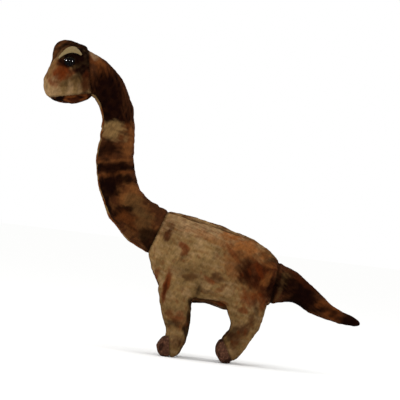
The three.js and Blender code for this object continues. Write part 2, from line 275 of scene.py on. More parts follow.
def gathered(names):
    """Copies of CAD nodes joined into one mesh: their points one after another."""
    points, faces, start = [], [], 0
    for name in names:
        mesh = NODES[name].data
        points.append(points_of(mesh))
        faces.append(triangles_of(mesh) + start)
        start += len(points[-1])
    return new_mesh("joined", np.concatenate(points), np.concatenate(faces))


def remeshed(piece, voxel):
    modifier = piece.modifiers.new("Remesh", "REMESH")
    modifier.mode = "VOXEL"
    modifier.voxel_size = voxel
    bake_modifiers(piece)
    shaded_smooth(piece.data)


def grid_quads(rows, columns):
    """Faces of a grid of rows * columns points that are numbered row by row."""
    i, j = np.meshgrid(np.arange(rows - 1), np.arange(columns - 1), indexing="ij")
    a = (i * columns + j).ravel()
    return np.stack([a, a + 1, a + columns + 1, a + columns], 1)


# ---- Where the seams run ----
def back_width(x):
    """Half width of the back gusset along the trunk: a lens, 0 at its ends and widest between."""
    low, high = TRUNK_BOX[0].x, TRUNK_BOX[1].x
    t = np.clip((x - low) / (high - low), 0, 1)
    return 13 * MM * np.sin(np.pi * t**0.9) ** 0.8 + 2.5 * MM


def belly_width(x):
    """Half width of the belly gusset: widest between the legs, narrowing to both ends."""
    low, high = TRUNK_BOX[0].x, TRUNK_BOX[1].x
    t = np.clip((x - low) / (high - low), 0, 1)
    return 9 * MM + 13 * MM * ease(0, 0.3, t) * (1 - ease(0.68, 1, t))


def crown_width(p):
    """Half width of the crown gusset, by the angle round the head from the nose up to the nape."""
    low, high = HEAD_BOX
    middle = ((low.x + high.x) / 2 - 2 * MM, low.z + 38 * MM)
    angle = np.degrees(np.arctan2(p[:, 2] - middle[1], middle[0] - p[:, 0]))
    turns = [-40, -22, 0, 25, 60, 95, 130, 165, 180]
    widths = [-4, 0, 8, 12.5, 14.5, 14, 12.5, 9, 4]
    return np.interp(angle, turns, np.array(widths) * MM)


def head_field(p):
    return np.minimum(HEAD_SEAM.ahead(p), p[:, 2] - CHIN_HEIGHT)


def back_field(p):
    return np.minimum(back_width(p[:, 0]) - abs(p[:, 1]), p[:, 2] - TRUNK_MIDDLE)


def belly_field(p):
    return np.minimum(belly_width(p[:, 0]) - abs(p[:, 1]), TRUNK_MIDDLE - p[:, 2])


def throat_field(p):
    """The throat gusset: a strip under the neck, before the line through the neck's middle."""
    before = neck_across(p)
    return np.minimum(THROAT_WIDTH - abs(p[:, 1]), -before - 3 * MM)


def front_leg_field(p):
    return np.minimum(FRONT_CUT - p[:, 2], BETWEEN_LEGS - p[:, 0])


def rear_leg_field(p):
    return np.minimum(REAR_CUT - p[:, 2], p[:, 0] - BETWEEN_LEGS)


def cap_field(row):
    line = CAP_LINE[row]
    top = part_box("foot_cap_" + row + "_left")[1].z
    return lambda p: np.minimum(line.ahead(p), top - p[:, 2])


# The middle line of the neck from body to head, in mm: out from the chest, up, and over to the nape.
NECK_MIDDLE = (
    (-60, 141),
    (-78, 155),
    (-92, 176),
    (-99, 201),
    (-100.5, 222),
    (-100, 242),
    (-103, 258),
    (-112, 279),
    (-125, 293),
)
NECK_LINE = np.array([NECK_SEAM.point[[0, 2]], *(np.array(NECK_MIDDLE) * MM), HEAD_SEAM.point[[0, 2]]])


def neck_place(p):
    """Where points lie on the neck: (share of the way from body to head, signed distance behind
    the middle line in metres), by the nearest point of the middle line."""
    a, b = NECK_LINE[:-1], NECK_LINE[1:]
    d = b - a
    span = np.linalg.norm(d, axis=1)
    q = p[:, None, [0, 2]] - a
    t = np.clip((q * d).sum(2) / span**2, 0, 1)
    gap = q - t[..., None] * d
    distance = np.linalg.norm(gap, axis=2)
    best = distance.argmin(1)
    rows = np.arange(len(p))
    share = (np.r_[0, np.cumsum(span)][best] + t[rows, best] * span[best]) / span.sum()
    cross = d[best, 0] * gap[rows, best, 1] - d[best, 1] * gap[rows, best, 0]
    return share, -np.sign(cross) * distance[rows, best]


def neck_across(p):
    return neck_place(p)[1]


# ---- The suit ----
SUIT = {}


def seam_gap(p):
    """Distance to the nearest sewn line at each point, in metres, and which line it is.

    The lines that stop at another seam are measured only inside their own part of the toy."""
    far = 99.0
    head = head_field(p)
    neck = NECK_SEAM.ahead(p)
    tail = TAIL_SEAM.ahead(p)
    share, across = neck_place(p)
    in_head, in_neck = head > 0, (neck > 0) & (head <= 0)
    in_tail, in_trunk = tail > 0, (neck <= 0) & (tail <= 0)
    row_front = p[:, 0] < BETWEEN_LEGS
    in_leg = in_trunk & (p[:, 2] < np.where(row_front, FRONT_CUT, REAR_CUT))
    high = p[:, 2] > TRUNK_MIDDLE
    cap = np.where(row_front, cap_field("front")(p), cap_field("rear")(p))
    lines = {
        "neck": np.where(p[:, 2] > 0.09, abs(neck), far),
        "head": np.where(p[:, 2] > CHIN_HEIGHT, abs(HEAD_SEAM.ahead(p)), far),
        "tail": abs(tail),
        "back": np.where(in_trunk & high, abs(back_width(p[:, 0]) - abs(p[:, 1])), far),
        "belly": np.where(in_trunk & ~high & ~in_leg, abs(belly_width(p[:, 0]) - abs(p[:, 1])), far),
        "throat": np.where(in_neck & (across < 0), abs(THROAT_WIDTH - abs(p[:, 1])), far),
        "nape": np.where(in_neck & (across > 0), abs(p[:, 1]), far),
        "tail_middle": np.where(in_tail, abs(p[:, 1]), far),
        "crown": np.where(in_head, abs(crown_width(p) - abs(p[:, 1])), far),
        "jaw": np.where(in_head, abs(JAW_SEAM.ahead(p)), far),
        "muzzle": np.where(in_head & (crown_width(p) <= 0) & (JAW_SEAM.ahead(p) < 0), abs(p[:, 1]), far),
        "leg": np.where(in_leg & (cap < 0), abs(abs(p[:, 1]) - LEG_SEAM_Y), far),
        "cap": np.where(in_leg & (p[:, 2] < 30 * MM), abs(cap), far),
    }
    names = list(lines)
    table = np.stack([lines[n] for n in names])
    nearest = table.argmin(0)
    return table[nearest, np.arange(len(p))], nearest


def hold_floor(points):
    """Soles are pressed flat on the floor: no point goes below it."""
    points[:, 2] = np.maximum(points[:, 2], 0.0)
    return points


def fill_suit(suit, cloth):
    """Blows the suit up by cloth pressure with its seams pinned, and caps how far a point moves."""
    mesh = suit.data
    rest = points_of(mesh)
    gap, _ = seam_gap(rest)
    soles = rest[:, 2] < 1.2 * MM
    pinned = np.nonzero((gap < 0.6 * cloth.voxel) | soles)[0]
    group = suit.vertex_groups.new(name="held")
    group.add(pinned.tolist(), 1.0, "REPLACE")
    modifier = suit.modifiers.new("Cloth", "CLOTH")
    settings = modifier.settings
    settings.quality = 5
    settings.mass = 0.2
    settings.tension_stiffness = 12
    settings.compression_stiffness = 12
    settings.shear_stiffness = 4
    settings.bending_stiffness = 0.3
    settings.use_pressure = True
    settings.uniform_pressure_force = cloth.pressure
    settings.vertex_group_mass = "held"
    settings.effector_weights.gravity = 0
    modifier.collision_settings.use_collision = False
    modifier.point_cache.frame_end = cloth.frames + 1
    for step in range(1, cloth.frames + 1):
        bpy.context.scene.frame_set(step)
    blown = evaluated(suit)
    moved = points_of(blown) - rest
    bpy.data.meshes.remove(blown)
    suit.modifiers.clear()
    suit.vertex_groups.clear()
    bpy.context.scene.frame_set(1)
    far = np.linalg.norm(moved, axis=1)[:, None]
    capped = moved * np.minimum(1, cloth.swell / np.maximum(far, 1e-9))
    smooth = relax(rest + capped, edges_of(mesh), (0.4, 0.4))
    move_points(mesh, hold_floor(smooth))


def eye_place(side):
    """Centre of an eye on the head and the way that it faces."""
    low, high = EYE_BOX[side]
    way = -1 if side == "left" else 1
    outer = low.y if way < 0 else high.y
    return np.array([(low.x + high.x) / 2, outer - way * 5.2 * MM, (low.z + high.z) / 2]), way


# Folds across the neck: share of the way up, slant, and 1 behind the neck or -1 before it.
NECK_FOLDS = ((0.10, 0.3, 1), (0.22, -0.4, 1), (0.53, 0.5, -1), (0.66, -0.3, -1), (0.80, 0.2, 1))


def cloth_relief(p, cloth):
    """How far the finished cloth stands out from the filled suit, in metres: lumps of the filling,
    wrinkles that run into the seams, the seams' own grooves with puckers, folds where the neck
    and tail bend, and the dimples that the eyes are pulled into."""
    gap, line = seam_gap(p)
    lumps = 0.5 * MM * ripple(p, 34 * MM, 3) + 0.2 * MM * ripple(p, 15 * MM, 4)
    fine = 0.10 * MM * ripple(p, 6 * MM, 5)
    along = ripple(p, cloth.stitch, 6) * np.exp(-gap / (4.5 * MM))
    groove = np.exp(-((gap / cloth.seam_width) ** 2))
    depth = np.array([1.0, 0.9, 1.15, 0.8, 0.8, 0.6, 0.45, 0.6, 0.75, 0.7, 0.35, 0.6, 0.9])[line]
    relief = lumps + fine + 0.2 * MM * along - cloth.seam_depth * depth * groove
    share, across = neck_place(p)
    in_neck = (NECK_SEAM.ahead(p) > 0) & (head_field(p) <= 0)
    for at, slant, reach in NECK_FOLDS:
        fold = share - at + slant * across / 0.2
        side = ease(0.0, 16 * MM, reach * across + 6 * MM)
        relief -= np.where(in_neck, 0.5 * MM * np.exp(-((fold / 0.012) ** 2)) * side, 0)
        relief += np.where(in_neck, 0.3 * MM * np.exp(-(((fold - 0.03) / 0.018) ** 2)) * side, 0)
    behind = TAIL_SEAM.ahead(p)
    sag = behind - 10 * MM + 0.15 * (p[:, 2] - TAIL_SEAM.point[2])
    flank = ease(4 * MM, 14 * MM, abs(p[:, 1]))
    relief -= np.where(behind > 0, 1.2 * MM * flank * np.exp(-((sag / (2.6 * MM)) ** 2)), 0)
    relief += np.where(behind > 0, 0.9 * MM * flank * np.exp(-(((sag + 6 * MM) / (3.5 * MM)) ** 2)), 0)
    for side in SIDES:
        centre, _ = eye_place(side)
        reach = np.linalg.norm(p - centre, axis=1)
        relief += 3.6 * MM * np.exp(-((reach / (14 * MM)) ** 2))
        relief -= 0.9 * MM * np.exp(-((reach / (6.5 * MM)) ** 2))
    return relief


def drawn_tail(points):
    """Draws the tail's end out to a finer point, by up to 2.5 mm along the tail."""
    behind = TAIL_SEAM.ahead(points)
    reach = float(behind.max())
    return points + 2.5 * MM * ease(reach - 45 * MM, reach, behind)[:, None] * np.array([0.89, 0, -0.45])


class MakeSuit(bpy.types.Operator):
    """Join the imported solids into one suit, fill it and give the cloth its relief"""

    bl_idname = "dinosaur.suit"
    bl_label = "Fill the suit"

    def execute(self, context):
        cloth = context.scene.dinosaur_cloth
        suit = new_piece("suit", gathered([name for name in NODES if not name.startswith("eye")]))
        remeshed(suit, cloth.voxel)
        mesh = suit.data
        points = drawn_tail(relax(points_of(mesh), edges_of(mesh), SOFTEN))
        move_points(mesh, hold_floor(points))
        fill_suit(suit, cloth)
        smooth = suit.modifiers.new("Subdivision", "SUBSURF")
        smooth.levels = smooth.render_levels = 1
        bake_modifiers(suit)
        points = points_of(suit.data)
        out = normals_of(suit.data)
        points = points + out * cloth_relief(points, cloth)[:, None]
        move_points(suit.data, hold_floor(points))
        SUIT["points"] = points
        SUIT["normals"] = normals_of(suit.data)
        SUIT["faces"] = triangles_of(suit.data)
        SUIT["panel"] = np.zeros(len(SUIT["faces"]), np.int32)
        SUIT["tree"] = BVHTree.FromPolygons(points.tolist(), SUIT["faces"].tolist())
        SUIT["object"] = suit
        return {"FINISHED"}


# ---- Cutting the suit into panels ----
def cut(panel, field, label):
    """Cuts one panel of the suit along field = 0, and gives the part where it is positive a label.

    An edge is cut where the field, taken as straight along it, is 0. A crossed triangle becomes
    a corner triangle on one side and two triangles on the other."""
    points, faces, normals = SUIT["points"], SUIT["faces"], SUIT["normals"]
    chosen = SUIT["panel"] == panel
    mine = faces[chosen]
    used = np.unique(mine)
    value = np.ones(len(points))
    value[used] = field(points[used])
    value[abs(value) < 1e-6] = 1e-6
    inside = value[mine] > 0
    count = inside.sum(1)
    whole_in, whole_out = mine[count == 3], mine[count == 0]
    crossed, odd_in = mine[(count == 1) | (count == 2)], (count == 1)[(count == 1) | (count == 2)]
    is_odd = (value[crossed] > 0) == odd_in[:, None]
    turn = is_odd.argmax(1)
    rows = np.arange(len(crossed))
    o, p, q = (crossed[rows, (turn + k) % 3] for k in range(3))
    pairs = np.sort(np.concatenate([np.stack([o, p], 1), np.stack([o, q], 1)]), axis=1)
    edges, index = np.unique(pairs, axis=0, return_inverse=True)
    index = index.ravel()
    a, b = edges.T
    t = np.clip(value[a] / (value[a] - value[b]), 0.02, 0.98)[:, None]
    SUIT["points"] = np.concatenate([points, points[a] + t * (points[b] - points[a])])
    between = normals[a] + t * (normals[b] - normals[a])
    between /= np.linalg.norm(between, axis=1)[:, None]
    SUIT["normals"] = np.concatenate([normals, between])
    m1, m2 = index[: len(o)] + len(points), index[len(o) :] + len(points)
    corner = np.stack([o, m1, m2], 1)
    rest = np.concatenate([np.stack([m1, p, q], 1), np.stack([m1, q, m2], 1)])
    rest_in = np.concatenate([~odd_in, ~odd_in])
    new_in = np.concatenate([whole_in, corner[odd_in], rest[rest_in]])
    new_out = np.concatenate([whole_out, corner[~odd_in], rest[~rest_in]])
    SUIT["faces"] = np.concatenate([faces[~chosen], new_in, new_out])
    SUIT["panel"] = np.concatenate(
        [SUIT["panel"][~chosen], np.full(len(new_in), label), np.full(len(new_out), panel)]
    )


PANELS = {}


def new_label(name):
    PANELS[name] = len(PANELS) + 1
    return PANELS[name]


def split(source, field, name):
    """Cuts the panel called name out of the one called source."""
    label = new_label(name)
    cut(PANELS[source], field, label)


def split_sides(source):
    """Divides a panel into a left and a right one, at the middle of the toy."""
    split(source, lambda p: p[:, 1], source + "_right")
    PANELS[source + "_left"] = PANELS.pop(source)


def cut_all_panels():
    PANELS["trunk"] = 0
    split("trunk", head_field, "head")
    split("trunk", NECK_SEAM.ahead, "neck")
    split("trunk", TAIL_SEAM.ahead, "tail_side")
    split("trunk", front_leg_field, "leg_front")
    split("trunk", rear_leg_field, "leg_rear")
    split("trunk", back_field, "back_gusset")
    split("trunk", belly_field, "belly_gusset")
    split("head", JAW_SEAM.ahead, "jaw_panel")
    split("head", lambda p: crown_width(p) - abs(p[:, 1]), "crown_gusset")
    split("neck", lambda p: p[:, 2] - NECK_SPLIT, "neck_upper")
    for part in ("neck", "neck_upper"):
        split(part, throat_field, part.replace("neck", "throat"))
        split_sides(part)
    for row in ("front", "rear"):
        split_sides("leg_" + row)
        for side in SIDES:
            leg = "leg_" + row + "_" + side
            split(leg, cap_field(row), "foot_cap_" + row + "_" + side)
            split(leg, lambda p: LEG_SEAM_Y - abs(p[:, 1]), leg + "_inner")
    for part in ("trunk", "tail_side", "head"):
        split_sides(part)


def panel_mesh(name, label, thickness):
    """A closed sheet of cloth: the panel's outer face, the same face moved in by the thickness and
    turned over, and a rim of quads that joins them along the border."""
    faces = SUIT["faces"][SUIT["panel"] == label]
    used, local = np.unique(faces, return_inverse=True)
    local = local.reshape(-1, 3)
    outer, normals = SUIT["points"][used], SUIT["normals"][used]
    count = len(outer)
    half = np.concatenate([local[:, [0, 1]], local[:, [1, 2]], local[:, [2, 0]]])
    key = half[:, 0].astype(np.int64) * count + half[:, 1]
    back = half[:, 1].astype(np.int64) * count + half[:, 0]
    border = half[~np.isin(key, back)]
    a, b = border.T
    rim = np.concatenate([np.stack([b, a, a + count], 1), np.stack([b, a + count, b + count], 1)])
    points = np.concatenate([outer, outer - normals * thickness])
    mesh = new_mesh(name, points, np.concatenate([local, local[:, ::-1] + count, rim]))
    mesh.normals_split_custom_set_from_vertices(np.concatenate([normals, -normals]).tolist())
    return mesh, used


# ---- Dye ----
# Printed clouds, by the joint or eye that they are placed from. Each is (colour, ahead, up, long,
# wide, turn, strength): its middle from that point and its half sizes in mm, and its turn in degrees.
CLOUDS = {
    "head_nod": (
        ("orange", 4, 7, 15, 7, -40, 0.55),
        ("amber", 3, 12, 9, 3, -40, 0.35),
        ("pale", -5, 19, 7, 3.5, -42, 0.5),
        ("orange", -1, -8, 13, 3, 10, 0.3),
        ("dark", 20, -30, 36, 26, -66, 1.0),
        ("orange", 36, -61, 24, 9, 5, 0.4),
        ("tan", 21, -61, 16, 10, -8, 0.8),
        ("amber", 47, -64, 13, 4, 95, 0.35),
        ("dark", 37, -62, 11, 1.5, -12, 0.45),
        ("dark", 21, -82, 14, 9.5, 8, 0.85),
        ("amber", 43, -78, 7, 9, 0, 0.45),
        ("amber", 33, -93.5, 28, 2.2, 11, 0.25),
        ("dark", 29, -101, 28, 5.5, 10, 0.95),
        ("orange", 30, -109, 28, 2.6, 15, 0.45),
        ("dark", 36, -116, 26, 6, 16, 0.95),
        ("dark", 26, -132, 26, 13, 105, 1.0),
        ("amber", 54, -128, 13, 11, 0, 0.4),
        ("grey", 58, -140, 17, 10, -30, 0.6),
        ("dark", 54, -143, 4.5, 3.5, 0, 0.9),
        ("dark", 44, -151, 14, 9, -35, 0.9),
        ("orange", 62, -158, 17, 8, -25, 0.5),
        ("grey", 74, -163, 15, 9, -60, 0.6),
        ("dark", 82, -178, 22, 10, -42, 0.85),
    ),
    "neck_bend": (
        ("grey", 54, -43, 30, 14, -8, 0.55),
        ("pale", 64, 5, 48, 8, -12, 0.35),
        ("brown", 17, 5, 10, 8, 60, 0.45),
        ("brown", 49, -47, 8, 4.5, 20, 0.55),
        ("amber", 74, -5, 34, 5, -15, 0.45),
        ("brown", 20, -2, 11, 4, 66, 0.85),
        ("rust", 38, -16, 7.5, 4.5, -55, 0.85),
        ("brown", 41, -26, 9, 5.5, 20, 0.35),
        ("brown", 78, -44, 8, 5.5, -15, 0.75),
        ("rust", 69, -47, 8, 2.4, -35, 0.75),
        ("rust", 83, -56, 6, 3.4, 30, 0.5),
        ("brown", 68, -60, 9, 2.6, -6, 0.4),
        ("rust", 86, -71, 7, 3.2, -10, 0.7),
        ("rust", 24, -57, 17, 3.6, 84, 0.95),
        ("dark", 23, -62, 9, 1.8, 84, 0.6),
        ("rust", 11, -50, 11, 3, 78, 0.7),
        ("orange", 110, -30, 34, 26, -50, 0.7),
        ("brown", 121, -38, 38, 23, -52, 0.97),
        ("brown", 138, -30, 16, 22, 0, 0.85),
        ("dark", 138, -50, 16, 9, -50, 0.8),
        ("rust", 117, -62, 14, 8, -30, 0.65),
        ("dark", 108, -34, 18, 9, -60, 0.6),
        ("rust", 122, -30, 14, 3, -62, 0.5),
        ("amber", 131, -41, 10, 4.5, 60, 0.4),
        ("rust", 91, -15, 11, 3, -48, 0.6),
        ("amber", 105, -7, 26, 7, -24, 0.85),
        ("dark", 130, -16, 14, 5, -30, 0.5),
    ),
    "leg_front_left_swing": (
        ("rust", 2, -15, 10, 6, 4, 0.6),
        ("rust", 8, -22, 8, 7, 5, 0.45),
        ("dark", 0, -23, 9, 4.5, 5, 0.65),
        ("dark", 17, -26, 34, 5.5, 84, 0.9),
        ("brown", 5, -45, 12, 6, 10, 0.55),
    ),
    "leg_rear_left_swing": (
        ("rust", -4, 8, 5.5, 4, 0, 0.7),
        ("dark", 9, 13, 11, 2.8, 105, 0.55),
        ("brown", -7, -18, 17, 8, 55, 0.8),
        ("dark", -14, -19, 12, 3, 62, 0.5),
        ("tan", 6, -30, 13, 4, 55, 0.6),
    ),
    "tail_wag": (
        ("grey", -6, 3, 15, 4.5, 70, 0.85),
        ("dark", -13, -6, 18, 3, 75, 0.8),
        ("dark", 15, -10, 24, 20, -30, 0.97),
        ("dark", 22, -15, 16, 14, -30, 0.9),
        ("brown", 14, 10, 22, 5, -32, 0.8),
        ("orange", 49, -22, 14, 9, -25, 0.65),
        ("dark", 66, -31, 26, 5, -22, 0.8),
        ("dark", 78, -31, 13, 10, 0, 0.9),
    ),
    "eye": (
        ("pale", -14, -33, 16, 9, 78, 0.5),
        ("grey", 9, -19, 20, 12, -6, 0.9),
        ("orange", -17, -10, 12, 8, 60, 0.45),
        ("rust", -10, -13, 14, 9, 65, 0.85),
        ("rust", -8, -10, 9, 5, 50, 0.6),
        ("rust", -2, -11.5, 11, 4.4, 8, 0.85),
        ("brown", 0, 19, 18, 6, 4, 0.9),
        ("brown", -15, 8, 6, 8, -30, 0.6),
        ("dark", 2, 5, 17, 11, -4, 1.0),
        ("dark", 19, -3, 22, 17, -60, 1.0),
        ("brown", 23, -20, 15, 7, 88, 0.85),
        ("pale", 4, -33, 12, 4, -85, 0.4),
        ("pale", 14, -30, 9, 3, -80, 0.25),
    ),
}
# Clouds of the crown, which is cut from its own darker plush.
CROWN_CLOUDS = (
    ("orange", -12, 8, 8, 14, 0, 0.35),
    ("dark", 2, 19, 16, 5, 8, 0.75),
    ("dark", 14, 12, 8, 6, -40, 0.8),
    # A painted highlight: a pinkish-tan patch by the nape.
    ("nape", 24, 7.5, 8, 3.6, -42, 0.75),
)


def streaks(p, degrees, long, wide, seed):
    """Noise drawn out into strokes: ripple over coordinates that are divided by the strokes' length
    along a way in the middle plane, and by their width across it."""
    angle = math.radians(degrees)
    along = p[:, 0] * math.cos(angle) + p[:, 2] * math.sin(angle)
    across = p[:, 2] * math.cos(angle) - p[:, 0] * math.sin(angle)
    return ripple(np.stack([along / long, p[:, 1] / long, across / wide], 1), 1.0, seed)


def cloud_weight(p, anchor, ahead, up, long, wide, turn, seed):
    """1 inside an ellipse in the middle plane and 0 outside it, over an edge that noise breaks up."""
    angle = math.radians(turn)
    dx, dz = p[:, 0] - anchor[0] - ahead * MM, p[:, 2] - anchor[2] - up * MM
    along = (dx * math.cos(angle) + dz * math.sin(angle)) / (long * MM)
    across = (dz * math.cos(angle) - dx * math.sin(angle)) / (wide * MM)
    size = min(long, wide)
    ragged = 0.24 * ripple(p, (size + 3) * 1.4 * MM, seed)
    ragged += 0.1 * streaks(p, turn, 9 * MM, 3 * MM, seed + 100)
    ragged *= min(max(size / 6, 0.35), 1)
    worn = 0.95 + 0.05 * np.clip(ripple(p, 7 * MM, seed + 400), -1, 1)
    return worn * (1 - ease(0.5, 1.4, np.hypot(along, across) + ragged))


def anchor_of(name):
    return eye_place("left")[0] if name == "eye" else pivot(name)


def mixed(colours, laid_colour, weight):
    return colours + weight[:, None] * (laid_colour - colours)


def painted(colours, p, anchor, clouds, seed, inks_and_highlight, where):
    """The colours with one clouds' list laid over them, on the points where it may lie."""
    for number, (laid_colour, ahead, up, long, wide, turn, strength) in enumerate(clouds):
        weight = cloud_weight(p, anchor_of(anchor), ahead, up, long, wide, turn, seed + number)
        colours = mixed(colours, inks_and_highlight[laid_colour], weight * strength * where)
    return colours


def dye_and_painted_light_at(p, dye):
    """Linear colour of the cloth at each point: the ground of each part of the toy, its clouds, and over
    everything strokes that are longer than they are wide, as a brush would leave them. Painted shade
    darkens the seams, the belly and the lowest trunk and legs, and painted highlights lighten a rim
    by each seam, the nape and a patch of the crown."""
    names = ("tan", "pale", "rust", "orange", "amber", "brown", "dark", "grey", "crown")
    inks_and_highlight = {name: linear(getattr(dye, name)) for name in names}
    # nape is a pinkish tan for a painted highlight by the nape, where light falls on the pile.
    inks_and_highlight["nape"] = 0.5 * (inks_and_highlight["pale"] + inks_and_highlight["orange"])
    share, across = neck_place(p)
    in_head = head_field(p) > 0
    in_neck = (NECK_SEAM.ahead(p) > 0) & ~in_head
    in_tail = TAIL_SEAM.ahead(p) > 0
    in_trunk = ~(in_head | in_neck | in_tail)
    front = p[:, 0] < BETWEEN_LEGS
    colours = np.tile(inks_and_highlight["tan"], (len(p), 1))
    colours = mixed(colours, inks_and_highlight["grey"], 0.4 * ease(-0.6, 1.2, ripple(p, 26 * MM, 21)))
    colours = mixed(colours, inks_and_highlight["pale"], 0.22 * ease(0.2, 1.4, ripple(p, 17 * MM, 22)))
    colours = mixed(colours, inks_and_highlight["brown"], 0.93 * (in_neck | in_tail))
    mottle = ease(-0.1, 1.0, ripple(p, 11 * MM, 23) + 0.5 * ripple(p, 5 * MM, 24))
    worn = 0.5 * (inks_and_highlight["grey"] + inks_and_highlight["orange"])
    colours = mixed(colours, worn, 0.55 * mottle * (in_neck & (share < 0.42)))
    colours = mixed(colours, inks_and_highlight["orange"], 0.15 * mottle * (in_neck & (share >= 0.42)))
    # Painted shade: the belly gusset under the trunk is coloured dark brown for the shade that falls under
    # it.
    under = in_trunk & (p[:, 2] < TRUNK_MIDDLE) & (abs(p[:, 1]) < belly_width(p[:, 0]))
    colours = mixed(colours, inks_and_highlight["brown"], 0.95 * under)
    spine = in_trunk & (p[:, 2] > TRUNK_MIDDLE) & (abs(p[:, 1]) < back_width(p[:, 0]))
    colours = mixed(colours, inks_and_highlight["brown"], 0.6 * spine * ease(-1.0, 1.0, ripple(p, 20 * MM, 25)))
    ground = streaks(p, 80, 9 * MM, 1.9 * MM, 31)
    colours = mixed(colours, inks_and_highlight["pale"], 0.16 * ease(0.3, 1.5, ground) * in_head)
    strokes = streaks(p, -25, 12 * MM, 3.4 * MM, 41)
    colours = mixed(colours, inks_and_highlight["orange"], 0.32 * ease(0.5, 1.8, strokes) * in_trunk)
    colours = mixed(colours, inks_and_highlight["pale"], 0.3 * ease(0.4, 1.8, -strokes) * in_trunk)
    # Painted shade: the trunk and legs turn greyer and darker below 95 mm, towards the floor.
    painted_low_shade = in_trunk * ease(95 * MM, 50 * MM, p[:, 2])
    colours = mixed(colours, inks_and_highlight["grey"], 0.4 * painted_low_shade)
    zones = {
        "neck_bend": (in_trunk & ~spine, 200),
        "leg_front_left_swing": (in_trunk & front, 230),
        "leg_rear_left_swing": (in_trunk & ~front, 240),
        "tail_wag": (in_tail | (in_trunk & ~front), 250),
        "head_nod": (in_neck, 260),
        "eye": (in_head, 280),
    }
    for anchor, (where, seed) in zones.items():
        colours = painted(colours, p, anchor, CLOUDS[anchor], seed, inks_and_highlight, where)
    low = in_head & (JAW_SEAM.ahead(p) > 0)
    jaw = mixed(np.tile(inks_and_highlight["brown"], (len(p), 1)), inks_and_highlight["dark"], ease(-0.4, 0.9, ripple(p, 14 * MM, 32)))
    jaw = mixed(jaw, inks_and_highlight["orange"], 0.8 * ease(0.3, 1.2, ripple(p, 9 * MM, 33)))
    colours = np.where(low[:, None], jaw, colours)
    crown = in_head & (crown_width(p) > abs(p[:, 1]))
    top = np.tile(inks_and_highlight["crown"], (len(p), 1))
    top = mixed(top, inks_and_highlight["orange"], 0.55 * ease(0.5, 1.4, streaks(p, 35, 4 * MM, 2.2 * MM, 34)))
    top = mixed(top, inks_and_highlight["dark"], 0.6 * ease(0.3, 1.3, ripple(p, 8 * MM, 35)))
    top = painted(top, p, "eye", CROWN_CLOUDS, 300, inks_and_highlight, 1)
    colours = np.where(crown[:, None], top, colours)
    strip = in_neck & (abs(p[:, 1]) < THROAT_WIDTH) & (across < -3 * MM)
    rusty = ease(-0.8, 0.8, ripple(p, 16 * MM, 36))
    throat = mixed(np.tile(inks_and_highlight["tan"], (len(p), 1)), inks_and_highlight["orange"], rusty)
    colours = np.where(strip[:, None], throat, colours)
    # Painted highlight: an orange rim along the nape seam, where light catches the pile at the neck's
    # outline.
    nape_rim_highlight = in_neck & (across > 0)
    colours = mixed(colours, inks_and_highlight["orange"], 0.7 * nape_rim_highlight * ease(6 * MM, 2.5 * MM, abs(p[:, 1])))
    brush = streaks(p, -22, 12 * MM, 2.3 * MM, 37)
    back = in_trunk * ease(20 * MM, 34 * MM, p[:, 2] - TRUNK_MIDDLE)
    colours = mixed(colours, inks_and_highlight["pale"], 0.3 * ease(0.3, 1.6, brush) * back)
    colours = mixed(colours, inks_and_highlight["rust"], 0.35 * ease(0.4, 1.7, -brush) * back)
    flecks = ease(1.35, 2.1, ripple(p, 7 * MM, 38)) * in_trunk
    colours = mixed(colours, inks_and_highlight["rust"], 0.35 * flecks)
    gap, _ = seam_gap(p)
    tone = 1 + 0.07 * ripple(p, 7 * MM, 39) + 0.06 * streaks(p, 65, 8 * MM, 2.5 * MM, 40)
    # Painted shade darkens each seam's groove, and a painted highlight lightens a rim on each side of it.
    groove, rim = np.exp(-((gap / (1.3 * MM)) ** 2)), np.exp(-(((gap - 3 * MM) / (1.4 * MM)) ** 2))
    tone *= 1 - 0.5 * groove + 0.12 * rim
    return np.clip(colours * tone[:, None], 0.0005, 1)


def cap_dye_at(p, dye):
    """Linear colour of the toe caps: a purplish brown, clouded darker and lighter."""
    base = np.tile(linear(dye.cap), (len(p), 1))
    base = mixed(base, linear(dye.dark), 0.7 * ease(0.0, 1.3, ripple(p, 9 * MM, 51)))
    return mixed(base, 2.4 * base, 0.6 * ease(0.3, 1.3, ripple(p, 3.5 * MM, 52)))


def colour_cloth(mesh, colours, places):
    """Stores on each point its colour, which on the printed panels holds painted shade and highlights
    as well as the dye, and the place that it had at rest, for the cloth's materials.
    """
    dye = mesh.attributes.new("dye", "FLOAT_COLOR", "POINT")
    dye.data.foreach_set("color", np.c_[colours, np.ones(len(colours))].astype(np.float32).ravel())
    place = mesh.attributes.new("cloth", "FLOAT_VECTOR", "POINT")
    place.data.foreach_set("vector", places.astype(np.float32).ravel())


# ---- Materials ----
def add(tree, kind, settings, links=None):
    """One node with its settings, each a property of the node or an input's value, and its links,
    each from another node's output to an input."""
    node = tree.nodes.new(kind)
    for key, value in settings.items():
        if isinstance(key, str) and hasattr(node, key):
            setattr(node, key, value)
        else:
            node.inputs[key].default_value = value
    for key, output in (links or {}).items():
        tree.links.new(output, node.inputs[key])
    return node


def new_material(name):
    """A material with an empty node tree but for its output, and the tree."""
    material = bpy.data.materials.new(name)
    material.use_nodes = True
    tree = material.node_tree
    tree.nodes.clear()
    return material, tree


def finish_material(material, tree, shader):
    add(tree, "ShaderNodeOutputMaterial", {}, {"Surface": shader.outputs[0]})
    return material


def per_mm(size):
    """Scale of a noise whose features are size mm apart."""
    return 1 / (size * MM)


RANGE = ("From Min", "From Max", "To Min", "To Max")


